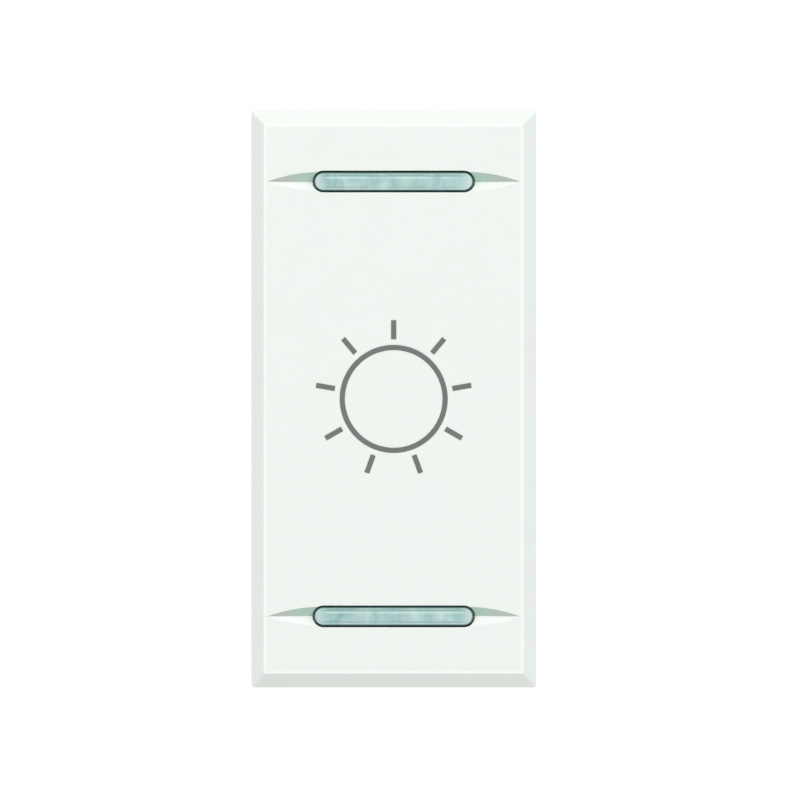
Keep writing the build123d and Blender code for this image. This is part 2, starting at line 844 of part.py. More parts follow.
def terminal_clamp(x, up):
    """A rising cage: a square loop with a threaded wall nearest the screw's head."""
    outer = [from_end(depth, up) for depth in clamp_depth]
    inner = [outer[0] - up * clamp_top, outer[1] + up * clamp_bottom]
    y = around(terminal_y, clamp_length)
    with BuildPart() as cage:
        block(around(x, clamp_width), y, outer)
        fillet(cage.edges().filter_by(Axis.Y), radius=0.5)
        block(
            around(x, clamp_width - 2 * clamp_side),
            (y[0] - 1, y[1] + 1),
            inner,
            mode=Mode.SUBTRACT,
        )
        rod(
            screw_radius + running_clearance,
            (x, terminal_y, outer[0] + up),
            (x, terminal_y, inner[0] - up * 0.1),
            mode=Mode.SUBTRACT,
        )
    return cage


contact_front = 19.4
contact_rear = 28.9
lug_y = (contact_front, contact_front + 1.0)
cross_z = (-9.0, -8.0)
terminals = {
    "line": (-terminal_x, -1),
    "load": (terminal_x, -1),
    "remote": (-terminal_x, 1),
}

for label, (x, up) in terminals.items():
    save(terminal_screw(x, up), f"{label}_screw")
    save(terminal_clamp(x, up), f"{label}_clamp")
    with BuildPart() as contact:
        contact_strip(x, up)
        strip_z = (from_end(contact_depth[0], up), from_end(contact_depth[1], up))
        if label == "load":
            # riser and cross strip that reach the power board past the line contact
            block(around(x, contact_width), lug_y, (strip_z[0], cross_z[1]))
            block((lead_end_x, x), lug_y, cross_z)
        else:
            block((lead_end_x, x), lug_y, strip_z)
    save(contact, f"{label}_contact")

# ---------------------------------------------------------------- power board

contact_slots = [
    from_end(sum(contact_depth) / 2, -1),
    from_end(sum(contact_depth) / 2, 1),
    sum(cross_z) / 2,
]
lead_holes = (
    [(header_y, z) for z in header_z]
    + film_leads
    + [(fuse_y, z) for z in clip_middles]
    + [(y, lead_z) for y in triac_leads]
    + [
        around_choke(angle, choke_core_radius[1] + turn_clearance)
        for angle in (winding_angles[0], winding_angles[-1])
    ]
)

with BuildPart() as power_board:
    with BuildSketch(Plane.YZ.offset(power_board_x[0])):
        with Locations((sum(power_board_y) / 2, 0)):
            Rectangle(power_board_y[1] - power_board_y[0], 2 * power_board_half_z)
        with Locations(*lead_holes):
            Circle(0.52, mode=Mode.SUBTRACT)
        with Locations(*[(sum(lug_y) / 2, z) for z in contact_slots]):
            Rectangle(1.1, 1.1, mode=Mode.SUBTRACT)
    extrude(amount=power_board_x[1] - power_board_x[0])
save(power_board, "power_board")

# ---------------------------------------------------------------- case shell

lip_front = 3.0
lip_gap = 0.05
lip_x = case_x - collar_wall - lip_gap
lip_z = case_z - collar_wall - lip_gap
side_label = (16.5, 15.0, 26.0)
vent_y = 13.5
vent_z = (-9.0, -4.5, 4.5, 9.0)
vent_size = (10.0, 1.2)
driver_hole_radius = 2.2
cover_barb_z = 7.0
barb_length = 4.4

with BuildPart() as case_shell:
    with BuildSketch(facing_front(case_rear)):
        RectangleRounded(2 * case_x, 2 * case_z, case_corner)
    extrude(amount=case_rear - collar_rear)
    # thinner lip that slides into the carrier frame's collar
    with BuildSketch(facing_front(collar_rear)):
        Rectangle(2 * lip_x, 2 * lip_z)
    extrude(amount=collar_rear - lip_front)
    with BuildSketch(facing_front(case_rear)):
        Rectangle(2 * inner_x, 2 * inner_z)
    extrude(amount=case_rear - lip_front, mode=Mode.SUBTRACT)
    for up in (-1, 1):
        # notch in the lip that leaves the frame's tongue free to bend
        block(
            (-5.8, 5.8),
            (lip_front, collar_rear),
            (up * (inner_z - 0.1), up * case_z),
            mode=Mode.SUBTRACT,
        )
        # ribs that hold the power board and the heat sink at both ends
        for x in ((-7.6, -6.8), (-inner_x, -8.95), (6.1, 6.7), (8.4, inner_x)):
            block(x, (7.2, 18.5), (up * 17.1, up * (inner_z + 0.1)))
        for side in (-1, 1):
            # corner ledges behind the control board
            block(
                (side * 8.0, side * (inner_x + 0.1)),
                (control_board_y[1] + 0.05, 6.1),
                (up * 15.0, up * (inner_z + 0.1)),
            )
    for side in (-1, 1):
        # snap barbs that engage the carrier frame's windows
        for z in (frame_barb_z, -frame_barb_z):
            with BuildSketch(Plane.XY.offset(z - barb_length / 2)):
                with BuildLine():
                    Polyline(
                        (side * (lip_x - 0.1), 5.1),
                        (side * (lip_x + 0.75), 5.1),
                        (side * (lip_x + 0.75), 4.7),
                        (side * (lip_x - 0.1), 3.7),
                        close=True,
                    )
                make_face()
            extrude(amount=barb_length)
        # windows for the rear cover's barbs
        for z in (cover_barb_z, -cover_barb_z):
            block(
                (side * (inner_x - 0.1), side * (case_x + 0.1)),
                (28.0, 29.5),
                around(z, 5.0),
                mode=Mode.SUBTRACT,
            )
    # shallow label recess on the left
    with BuildSketch(Plane.YZ.offset(-case_x + 0.3)):
        with Locations((side_label[0], 0)):
            RectangleRounded(side_label[1], side_label[2], 0.8)
    extrude(amount=-1, mode=Mode.SUBTRACT)
    # vents beside the heat sink
    for z in vent_z:
        with BuildSketch(Plane.YZ.offset(inner_x - 0.5)):
            with Locations((vent_y, z)):
                SlotOverall(*vent_size)
        extrude(amount=3, mode=Mode.SUBTRACT)
    # screwdriver holes over the terminal screws
    for x, up in terminals.values():
        rod(
            driver_hole_radius,
            (x, terminal_y, up * (inner_z - 0.5)),
            (x, terminal_y, up * (case_z + 0.5)),
            mode=Mode.SUBTRACT,
        )
save(case_shell, "case_shell")

# ---------------------------------------------------------------- rear cover

chamber_front = 21.6
chamber_depth = (12.5, 13.3)
rear_label_centre = (4.7, 10.3)
rear_label_size = (8.6, 12.0)
label_depth = 0.3
funnel_reach = 0.6

with BuildPart() as rear_cover:
    with BuildSketch(facing_front(cover_rear)):
        RectangleRounded(2 * case_x, 2 * case_z, case_corner)
    extrude(amount=cover_rear - case_rear)
    chamfer(rear_cover.faces().sort_by(Axis.Y)[-1].edges(), length=0.4)
    # shallow label recess and a groove as long as the wire is to be stripped
    with BuildSketch(facing_front(cover_rear)):
        with Locations(rear_label_centre):
            RectangleRounded(*rear_label_size, 0.6)
        with Locations((0, 0)):
            SlotOverall(strip_length, 1.0)
    extrude(amount=label_depth, mode=Mode.SUBTRACT)
    for side in (-1, 1):
        # side lips with snap barbs
        block((side * 8.35, side * (inner_x - 0.05)), (27.0, case_rear), (-14.0, 14.0))
        for z in (cover_barb_z, -cover_barb_z):
            with BuildSketch(Plane.XY.offset(z - barb_length / 2)):
                with BuildLine():
                    Polyline(
                        (side * (inner_x - 0.15), 29.4),
                        (side * (inner_x + 0.7), 29.4),
                        (side * (inner_x + 0.7), 29.0),
                        (side * (inner_x - 0.15), 28.1),
                        close=True,
                    )
                make_face()
            extrude(amount=barb_length)
    for up in (-1, 1):
        # walls between the terminals and the electronics, and between neighbours
        wall_z = [from_end(depth, up) for depth in chamber_depth]
        block((-8.3, 8.3), (chamber_front, case_rear), wall_z)
        block((-0.6, 0.6), (chamber_front, case_rear), (wall_z[1], from_end(1.7, up)))
    for x, up in terminals.values():
        # boss and funnelled hole for a wire
        z = from_end(wire_depth, up)
        rod(2.5, (x, 29.05, z), (x, case_rear, z))
        rod(wire_radius, (x, 28, z), (x, cover_rear + 1, z), mode=Mode.SUBTRACT)
        with Locations(Plane(origin=(x, cover_rear - 0.4, z), z_dir=(0, 1, 0))):
            Cone(
                wire_radius,
                wire_radius + funnel_reach,
                funnel_reach,
                align=(Align.CENTER, Align.CENTER, Align.MIN),
                mode=Mode.SUBTRACT,
            )
save(rear_cover, "rear_cover")
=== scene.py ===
"""Looks of the one-module wall dimmer: materials, springs, snap domes, solder, studio and camera.

Everything is in metres in the frame of the CAD model: X to the right, Y into the wall, Z up.
Places and sizes inside the materials are in millimetres of the same frame.
"""

import math

import bmesh
import bpy
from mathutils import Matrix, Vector


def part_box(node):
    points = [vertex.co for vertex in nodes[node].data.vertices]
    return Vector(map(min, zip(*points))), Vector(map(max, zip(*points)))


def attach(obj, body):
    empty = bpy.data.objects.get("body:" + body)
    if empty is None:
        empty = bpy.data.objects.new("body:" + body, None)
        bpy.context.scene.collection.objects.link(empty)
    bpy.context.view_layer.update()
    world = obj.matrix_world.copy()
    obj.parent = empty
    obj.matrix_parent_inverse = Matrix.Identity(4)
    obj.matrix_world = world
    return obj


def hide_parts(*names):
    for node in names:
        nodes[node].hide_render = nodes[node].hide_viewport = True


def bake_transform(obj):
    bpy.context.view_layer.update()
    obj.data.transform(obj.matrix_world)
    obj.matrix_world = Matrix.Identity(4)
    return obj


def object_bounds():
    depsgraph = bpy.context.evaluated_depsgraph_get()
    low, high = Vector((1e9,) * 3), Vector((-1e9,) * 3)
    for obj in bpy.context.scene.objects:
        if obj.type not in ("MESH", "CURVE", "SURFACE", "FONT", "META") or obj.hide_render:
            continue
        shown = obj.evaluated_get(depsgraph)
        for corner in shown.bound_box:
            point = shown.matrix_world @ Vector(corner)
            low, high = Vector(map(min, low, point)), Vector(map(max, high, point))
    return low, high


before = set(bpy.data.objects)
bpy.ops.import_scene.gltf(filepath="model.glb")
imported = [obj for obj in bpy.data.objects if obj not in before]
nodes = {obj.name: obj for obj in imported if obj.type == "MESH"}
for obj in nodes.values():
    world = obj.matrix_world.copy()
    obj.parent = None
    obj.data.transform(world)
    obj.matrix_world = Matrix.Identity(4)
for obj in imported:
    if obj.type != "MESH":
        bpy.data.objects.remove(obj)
cad_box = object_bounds()

MM = 0.001
LEVELS = ("upper", "lower")
TERMINALS = ("line", "load", "remote")


def box_mm(node):
    """The lowest and highest corner of a CAD node, in millimetres."""
    low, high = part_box(node)
    return low / MM, high / MM


def paint(red, green, blue):
    """A display colour, 0 to 255 per channel, as the linear colour that nodes use."""
    channels = []
    for value in (red, green, blue):
        share = value / 255
        channels.append(share / 12.92 if share <= 0.04045 else ((share + 0.055) / 1.055) ** 2.4)
    return tuple(channels)


# ---------------------------------------------------------------- node building


class Graph:
    """A node tree under construction. Its methods add nodes and return their outputs."""

    def __init__(self, tree):
        self.tree = tree
        tree.nodes.clear()

    def node(self, kind, inputs=None, **settings):
        """A shader node with its settings, its inputs fed by their names or numbers."""
        made = self.tree.nodes.new("ShaderNode" + kind)
        for key, value in settings.items():
            setattr(made, key, value)
        for key, value in (inputs or {}).items():
            self.feed(made.inputs[key], value)
        return made

    def feed(self, socket, value):
        """Gives an input a number, a colour or another node's output."""
        if isinstance(value, bpy.types.NodeSocket):
            self.tree.links.new(value, socket)
        elif isinstance(value, tuple) and len(value) == 3 and socket.type == "RGBA":
            socket.default_value = (*value, 1)
        else:
            socket.default_value = value

    def calc(self, operation, first, second=0.0, third=0.0):
        """One step of arithmetic on numbers or outputs."""
        return self.node("Math", {0: first, 1: second, 2: third}, operation=operation).outputs[0]

    def step(self, value, low, high):
        """Rises smoothly from 0 at low to 1 at high, or falls if low is the larger."""
        inputs = {"Value": value, "From Min": low, "From Max": high}
        return self.node("MapRange", inputs, interpolation_type="SMOOTHSTEP").outputs["Result"]

    def for_camera(self, seen, otherwise):
        """One shader for the rays of the camera and another for all other rays."""
        from_camera = self.node("LightPath").outputs["Is Camera Ray"]
        return self.node("MixShader", {0: from_camera, 1: otherwise, 2: seen}).outputs[0]


class Look(Graph):
    """A material under construction, with the place and the direction of each surface point."""

    def __init__(self, name):
        self.material = bpy.data.materials.new(name)
        self.material.use_nodes = True
        super().__init__(self.material.node_tree)
        metres = self.node("TexCoord").outputs["Object"]
        scaled = self.node("VectorMath", {0: metres, "Scale": 1 / MM}, operation="SCALE")
        self.place = scaled.outputs["Vector"]
        self.x, self.y, self.z = self.node("SeparateXYZ", {0: self.place}).outputs
        normal = self.node(
            "VectorTransform",
            {0: self.node("NewGeometry").outputs["Normal"]},
            vector_type="NORMAL",
            convert_from="WORLD",
            convert_to="OBJECT",
        )
        self.facing = self.node("SeparateXYZ", {0: normal.outputs[0]}).outputs

    # masks

    def past(self, value, place, soft):
        """1 past a place and 0 short of it, with an edge that is soft on both sides."""
        return self.step(value, place - soft, place + soft)

    def short_of(self, value, place, soft):
        """1 short of a place and 0 past it, with an edge that is soft on both sides."""
        return self.step(value, place + soft, place - soft)

    def away(self, value, middle=0.0):
        """How far a value is from a middle."""
        return self.calc("ABSOLUTE", self.calc("SUBTRACT", value, middle))

    def reach(self, first, second):
        """The length of a step of first one way and second square to it."""
        squares = [self.calc("MULTIPLY", side, side) for side in (first, second)]
        return self.calc("SQRT", self.calc("ADD", *squares))

    def band(self, value, middle, half, soft):
        """1 within half of the middle, falling to 0 over soft."""
        return self.step(self.away(value, middle), half + soft, half)

    def both(self, *masks):
        """1 where every mask is 1."""
        total = masks[0]
        for mask in masks[1:]:
            total = self.calc("MULTIPLY", total, mask)
        return total

    def either(self, *masks):
        """1 where any mask is 1."""
        total = masks[0]
        for mask in masks[1:]:
            total = self.calc("MAXIMUM", total, mask)
        return total

    def outside(self, mask):
        """1 where a mask is 0."""
        return self.calc("SUBTRACT", 1.0, mask)

    # patterns

    def stretched(self, stretch, seed=0.0):
        """The place scaled by a factor on each axis and moved by a seed."""
        inputs = {"Vector": self.place, "Scale": stretch, "Location": (seed, seed, seed)}
        return self.node("Mapping", inputs).outputs[0]

    def noise(self, size, detail=2.0, stretch=(1, 1, 1), seed=0.0, rough=0.5, twist=0.0):
        """Noise between 0 and 1 whose blobs are about size millimetres across."""
        inputs = {
            "Vector": self.stretched(stretch, seed),
            "Scale": 1 / size,
            "Detail": detail,
            "Roughness": rough,
            "Distortion": twist,
        }
        return self.node("TexNoise", inputs).outputs[0]

    def cells(self, size, seed=0.0):
        """Distance to the middle of cells of about size millimetres."""
        inputs = {"Vector": self.stretched((1, 1, 1), seed), "Scale": 1 / size}
        return self.node("TexVoronoi", inputs).outputs["Distance"]

    # colours and numbers

    def ramp(self, value, *stops):
        """Colour by value; each stop is (position, colour)."""
        made = self.node("ValToRGB", {0: value})
        elements = made.color_ramp.elements
        while len(elements) < len(stops):
            elements.new(0.5)
        for element, (position, colour) in zip(elements, stops):
            element.position = position
            element.color = (*colour, 1)
        return made.outputs[0]

    def mix(self, first, second, share):
        """Two colours mixed by share."""
        return self.node("Mix", {0: share, 6: first, 7: second}, data_type="RGBA").outputs[2]

    def between(self, low, high, share):
        """A number between low and high by share."""
        inputs = {"Value": share, "To Min": low, "To Max": high}
        return self.node("MapRange", inputs).outputs["Result"]

    def shade(self, colour, amount, share):
        """A colour made lighter or darker by up to amount as share goes from 0 to 1."""
        gain = self.between(1 - amount, 1 + amount, share)
        return self.node("VectorMath", {0: colour, "Scale": gain}, operation="SCALE").outputs[0]

    # surface

    def edges(self, radius):
        """The surface normal with corners rounded by a radius in millimetres."""
        return self.node("Bevel", {"Radius": radius * MM}, samples=4).outputs[0]

    def bump(self, height, depth, normal=None):
        """A normal from a height of 0 to 1 that stands for a depth in millimetres."""
        inputs = {"Height": height, "Distance": depth * MM, "Strength": 1.0}
        if normal is not None:
            inputs["Normal"] = normal
        return self.node("Bump", inputs).outputs[0]

    def finish(self, colour, roughness, metallic=0.0, normal=None, **extra):
        """Closes the material with a Principled surface and returns it."""
        inputs = {"Base Color": colour, "Roughness": roughness, "Metallic": metallic}
        if normal is not None:
            inputs["Normal"] = normal
        for name, value in extra.items():
            inputs[name.replace("_", " ").title().replace("Ior", "IOR")] = value
        surface = self.node("BsdfPrincipled", inputs)
        self.node("OutputMaterial", {"Surface": surface.outputs[0]})
        return self.material


# ---------------------------------------------------------------- key, symbol and windows

KEY_LOW, KEY_HIGH = box_mm("key_cover")
KEY_FACE_Y = KEY_LOW.y
SIDE_BEVEL = 1.0
END_BEVEL = 1.15
BEVEL_DEPTH = 1.0
FACE_HALF_WIDTH = KEY_HIGH.x - SIDE_BEVEL
FACE_HALF_HEIGHT = KEY_HIGH.z - END_BEVEL

# the lens's flange is wider than its slot all round, and the lens has a gap in the slot
WINDOW_FLANGE = 0.6
WINDOW_GAP = 0.08
WINDOW_LOW, WINDOW_HIGH = box_mm("upper_window")
WINDOW_Z = (WINDOW_LOW.z + WINDOW_HIGH.z) / 2
SLOT_HALF_LENGTH = WINDOW_HIGH.x - WINDOW_FLANGE
SLOT_HALF_HEIGHT = WINDOW_HIGH.z - WINDOW_Z - WINDOW_FLANGE

KEY_WHITE = paint(238, 246, 239)
# painted highlight for the line just inside the face's edge
HIGHLIGHT_WHITE = paint(247, 253, 248)
# painted highlight for the grooves' lower facets
FACET_HIGHLIGHT_WHITE = paint(252, 254, 252)
# painted shade for the grooves' upper facets, grey away from the windows and green near them
FACET_SHADE_GREY = paint(192, 198, 191)
FACET_SHADE_GREEN = paint(182, 213, 196)
# painted shade for the slot walls and the lenses' rims
SHADE_TEAL = paint(70, 101, 97)


def slot_shape(look, centre_z, half_length, half_height):
    """Distance inside (positive) the outline of a lying slot, and height above its middle."""
    past_end = look.calc("SUBTRACT", look.away(look.x), half_length - half_height)
    past_end = look.calc("MAXIMUM", past_end, 0.0)
    up = look.calc("SUBTRACT", look.z, centre_z)
    return look.calc("SUBTRACT", half_height, look.reach(past_end, up)), up


def key_plastic():
    """Satin white moulding with a painted highlight inside the face's edge, painted shade and
    highlight on the grooves' facets and painted shade on the slot walls.
    """
    look = Look("key_plastic")
    colour = look.mix(KEY_WHITE, paint(240, 244, 240), look.noise(9.0, detail=3))
    colour = look.shade(colour, 0.008, look.noise(2.5, detail=2, seed=5))
    # a painted highlight: a lighter line just inside the edge of the face
    line_inset, line_half_width, line_fade = 0.1, 0.05, 0.12
    to_side = look.calc("SUBTRACT", FACE_HALF_WIDTH, look.away(look.x))
    to_end = look.calc("SUBTRACT", FACE_HALF_HEIGHT, look.away(look.z))
    to_edge = look.calc("MINIMUM", to_side, to_end)
    wear_and_painted_highlight = look.band(to_edge, line_inset, line_half_width, line_fade)
    on_face = look.short_of(look.facing[1], -0.9, 0.05)
    colour = look.mix(colour, HIGHLIGHT_WHITE, look.both(wear_and_painted_highlight, on_face))

    groove_reach, green_start, green_full = 0.95, 9.4, 6.2
    behind_face = look.past(look.y, KEY_FACE_Y + 0.007, 0.005)
    looks_down = look.short_of(look.facing[2], -0.375, 0.075)
    looks_up = look.past(look.facing[2], 0.375, 0.075)
    towards_window = look.step(look.away(look.x), green_start, green_full)
    green = look.mix(FACET_SHADE_GREY, FACET_SHADE_GREEN, towards_window)
    for middle in (WINDOW_Z, -WINDOW_Z):
        inside, up = slot_shape(look, middle, SLOT_HALF_LENGTH, SLOT_HALF_HEIGHT)
        groove = look.both(look.short_of(look.away(up), groove_reach, 0.05), behind_face)
        # painted shade on the groove's upper facet, which looks down, greener towards the window
        colour = look.mix(colour, green, look.both(groove, looks_down))
        # painted highlight on the lower facet, which looks up, brightest along the bottom of the V
        near_bottom = look.step(look.away(up), 0.85, 0.25)
        colour = look.mix(colour, FACET_HIGHLIGHT_WHITE, look.both(groove, looks_up, near_bottom))
        # painted shade: the slot's walls in dark teal
        wall = look.past(inside, -0.009, 0.003)
        colour = look.mix(colour, SHADE_TEAL, look.both(wall, behind_face))

    grain = look.noise(0.22, detail=3, rough=0.6)
    swell = look.noise(3.0, detail=1, seed=3)
    normal = look.bump(grain, 0.0012, look.bump(swell, 0.004, look.edges(0.1)))
    roughness = look.between(0.36, 0.46, look.noise(1.2, detail=3, seed=9))
    return look.finish(
        colour, roughness, normal=normal, specular_ior_level=0.35, coat_weight=0.05
    )


def symbol_ink():
    """Matt grey pad-printed ink with a faint screen texture."""
    look = Look("symbol_ink")
    speckle = look.noise(0.12, detail=3, rough=0.7)
    patches = look.noise(1.6, detail=2, seed=2)
    colour = look.mix(paint(103, 111, 105), paint(115, 122, 116), patches)
    colour = look.shade(colour, 0.05, speckle)
    return look.finish(colour, 0.55, normal=look.bump(speckle, 0.002))


def light_window(level):
    """Frosted aqua lens with a rim of painted shade and soft streaks of the guide behind it."""
    look = Look(f"{level}_window_lens")
    middle, seed = (WINDOW_Z, 11.7) if level == "upper" else (-WINDOW_Z, 19.1)
    inside, up = slot_shape(
        look, middle, SLOT_HALF_LENGTH - WINDOW_GAP, SLOT_HALF_HEIGHT - WINDOW_GAP
    )
    clouds = look.noise(1.7, detail=2.5, stretch=(1, 1, 0.8), seed=seed, twist=0.6)
    streaks = look.noise(0.35, detail=2, stretch=(1, 1, 0.12), seed=seed + 3)
    tone = look.calc("ADD", look.calc("MULTIPLY", clouds, 0.8), look.calc("MULTIPLY", streaks, 0.2))
    colour = look.ramp(
        tone,
        (0.30, paint(129, 173, 169)),
        (0.44, paint(157, 196, 193)),
        (0.56, paint(174, 207, 204)),
        (0.70, paint(198, 223, 219)),
    )
    ends = look.past(look.away(look.x), 5.5, 0.5)
    colour = look.mix(colour, paint(206, 226, 222), look.calc("MULTIPLY", ends, 0.7))

    # reflections of the slot's long walls run just inside the top and bottom edges
    wobble = look.noise(2.4, detail=2, stretch=(1, 1, 0), seed=seed + 11)
    broken, nearly_whole = look.step(wobble, 0.34, 0.55), look.step(wobble, 0.2, 0.5)
    fade = look.short_of(look.away(look.x), 5.45, 0.45)
    for place, half, strength, shade, breaks in (
        (0.53, 0.08, 0.5, paint(140, 176, 170), nearly_whole),
        (0.42, 0.02, 0.6, paint(104, 144, 138), nearly_whole),
        (0.31, 0.06, 0.6, paint(208, 236, 230), broken),
        (-0.45, 0.02, 0.6, paint(112, 146, 142), broken),
        (-0.53, 0.05, 0.4, paint(190, 208, 206), broken),
    ):
        line = look.both(look.band(up, place, half, 0.06), breaks, fade)
        colour = look.mix(colour, shade, look.calc("MULTIPLY", line, strength))
    # painted shade: a dark teal rim round the lens
    colour = look.mix(colour, SHADE_TEAL, look.step(inside, 0.145, 0.10))
    normal = look.bump(look.noise(0.5, detail=2, seed=1), 0.004)
    return look.finish(colour, 0.22, normal=normal, coat_weight=0.3, coat_roughness=0.08)


# ---------------------------------------------------------------- plastics and glass

BLACK = paint(30, 31, 33)


def moulded(name, colour, roughness, texture, cell=0.18):
    """Moulded plastic: spark-eroded texture, slight flow marks and softened corners."""
    look = Look(name)
    flow = look.noise(6.0, detail=3, stretch=(1, 0.35, 1), seed=1, twist=0.4)
    tinted = look.shade(colour, 0.03, flow)
    grain = look.noise(cell, detail=3, rough=0.65)
    pits = look.cells(cell * 1.6, seed=4)
    height = look.calc("ADD", look.calc("MULTIPLY", grain, 0.7), look.calc("MULTIPLY", pits, 0.4))
    tinted = look.shade(tinted, 0.03 + texture / 3, height)
    rough = look.between(roughness - 0.06, roughness + 0.08, look.noise(1.5, detail=3, seed=6))
    normal = look.bump(height, texture, look.edges(0.12))
    return look.finish(tinted, rough, normal=normal, specular_ior_level=0.45)


def clear_guide():
    """Clear polycarbonate, slightly frosted, for the light guides."""
    look = Look("clear_guide")
    haze = look.noise(1.1, detail=3, seed=8)
    colour = look.mix(paint(232, 244, 241), paint(214, 236, 232), haze)
    rough = look.between(0.08, 0.3, look.noise(0.6, detail=3))
    return look.finish(
        colour, rough, normal=look.edges(0.08), transmission_weight=0.75, ior=1.58
    )


def fuse_tube():
    """Clear fuse glass with a faint green tint and drawn lines along the tube."""
    look = Look("fuse_tube")
    lines = look.noise(0.4, detail=2, stretch=(1, 1, 0.1))
    return look.finish(
        look.mix(paint(226, 240, 234), paint(240, 247, 244), lines),
        look.between(0.03, 0.1, lines),
        transmission_weight=0.92,
        ior=1.5,
        normal=look.bump(lines, 0.002),
    )


def led_package():
    """White ceramic body, tinned ends and a yellow phosphor lens in the middle of its front."""
    look = Look("led_package")
    front_y = box_mm("upper_led")[0].y
    lens_half_width, end_start = 0.9, 1.2
    lens_depth, end_depth = 0.125, 0.55
    sideways = look.away(look.x)
    lens = look.both(
        look.short_of(look.y, front_y + lens_depth, 0.025),
        look.short_of(sideways, lens_half_width, 0.05),
    )
    ends = look.both(
        look.past(sideways, end_start, 0.05), look.past(look.y, front_y + end_depth, 0.05)
    )
    body = look.shade(paint(228, 226, 216), 0.04, look.noise(0.4, detail=2))
    phosphor = look.shade(paint(236, 205, 92), 0.12, look.cells(0.08))
    colour = look.mix(look.mix(body, phosphor, lens), paint(196, 192, 180), ends)
    rough = look.between(0.55, 0.25, look.either(lens, ends))
    return look.finish(colour, rough, metallic=ends, normal=look.bump(look.noise(0.1), 0.004))


# ---------------------------------------------------------------- metals

STEEL = paint(196, 198, 202)
TIN = paint(206, 206, 204)
BRASS = paint(214, 176, 96)


def metal(name, colour, roughness, brush=(1, 1, 1), grain=0.08, depth=0.0015, corner=0.08,
          stain=None):
    """Sheet or turned metal with brushing along one direction and faint stains."""
    look = Look(name)
    lines = look.noise(grain, detail=3, stretch=brush, rough=0.6)
    patches = look.noise(2.2, detail=3, seed=6, twist=0.5)
    tinted = look.shade(colour, 0.1, lines)
    if stain:
        stained = look.calc("MULTIPLY", look.step(patches, 0.45, 0.7), 0.5)
        tinted = look.mix(tinted, stain, stained)
    wear_and_painted_highlight = look.between(roughness - 0.08, roughness + 0.1, patches)
    rough = look.calc("ADD", wear_and_painted_highlight, look.between(-0.04, 0.04, lines))
    normal = look.bump(lines, depth, look.edges(corner))
    return look.finish(tinted, rough, metallic=1.0, normal=normal)


def enamelled_wire():
    """Copper under amber enamel, with thin and thick spots."""
    look = Look("enamelled_wire")
    along = look.noise(0.5, detail=3, seed=4)
    return look.finish(
        look.ramp(along, (0.3, paint(150, 70, 34)), (0.7, paint(206, 116, 62))),
        look.between(0.22, 0.34, look.noise(0.2, detail=2)),
        metallic=0.85,
        normal=look.bump(look.noise(0.25, detail=2), 0.004),
        coat_weight=0.8,
        coat_roughness=0.12,
    )


def iron_paint():
    """Thick yellow paint over a powdered-iron ring, with a white face."""
    look = Look("iron_paint")
    face_x = box_mm("choke_core")[1].x
    face = look.past(look.x, face_x - 0.425, 0.075)
    lumps = look.noise(0.7, detail=4, rough=0.6)
    coat = look.mix(paint(222, 190, 60), paint(228, 226, 214), face)
    return look.finish(look.shade(coat, 0.07, lumps), 0.42, normal=look.bump(lumps, 0.03))


# ---------------------------------------------------------------- boards and components


def laminate(name, across, along, through):
    """Green solder mask with tracks, vias and a bare glass-fibre edge."""
    look = Look(name)
    axes = {"x": look.x, "y": look.y, "z": look.z}
    u, v = axes[across], axes[along]
    flat = look.node("CombineXYZ", {0: u, 1: v}).outputs[0]

    def field(seed, share):
        """Random rectangles that cover about a share of the board."""
        moved = look.node("Mapping", {"Vector": flat, "Location": (seed, 2 * seed, 0)}).outputs[0]
        cells = look.node("TexVoronoi", {"Vector": moved, "Scale": 0.22}, distance="CHEBYCHEV")
        chance = look.node("SeparateXYZ", {0: cells.outputs["Color"]}).outputs[0]
        return look.past(chance, 1 - share, 0.02)

    def tracks(run, pitch, width):
        """Parallel tracks of a width, a pitch apart."""
        return look.short_of(look.calc("PINGPONG", run, pitch / 2), width / 2 + 0.02, 0.02)

    lengthways, crossways, pour = field(3.1, 0.5), field(8.7, 0.55), field(14.9, 0.22)
    clear = look.outside(lengthways)
    copper = look.either(
        look.both(lengthways, tracks(u, 1.3, 0.4)),
        look.both(clear, crossways, tracks(v, 1.1, 0.35)),
        look.both(clear, pour),
    )
    spots = look.node("TexVoronoi", {"Vector": flat, "Scale": 0.3}).outputs["Distance"]
    vias = look.short_of(spots, 0.1, 0.01)
    mask = look.shade(paint(22, 92, 52), 0.08, look.noise(3.0, detail=3))
    colour = look.mix(mask, paint(40, 118, 64), copper)
    colour = look.mix(colour, paint(190, 186, 168), vias)
    edge = look.short_of(look.away(look.facing["xyz".index(through)]), 0.5, 0.1)
    fibres = look.noise(0.15, detail=2, stretch=(1, 1, 4))
    colour = look.mix(colour, look.mix(paint(172, 164, 112), paint(206, 198, 150), fibres), edge)
    height = look.calc("MAXIMUM", copper, look.calc("MULTIPLY", vias, 1.5))
    return look.finish(
        colour,
        look.between(0.28, 0.7, edge),
        normal=look.bump(height, 0.02),
        metallic=look.both(vias, look.outside(edge)),
    )


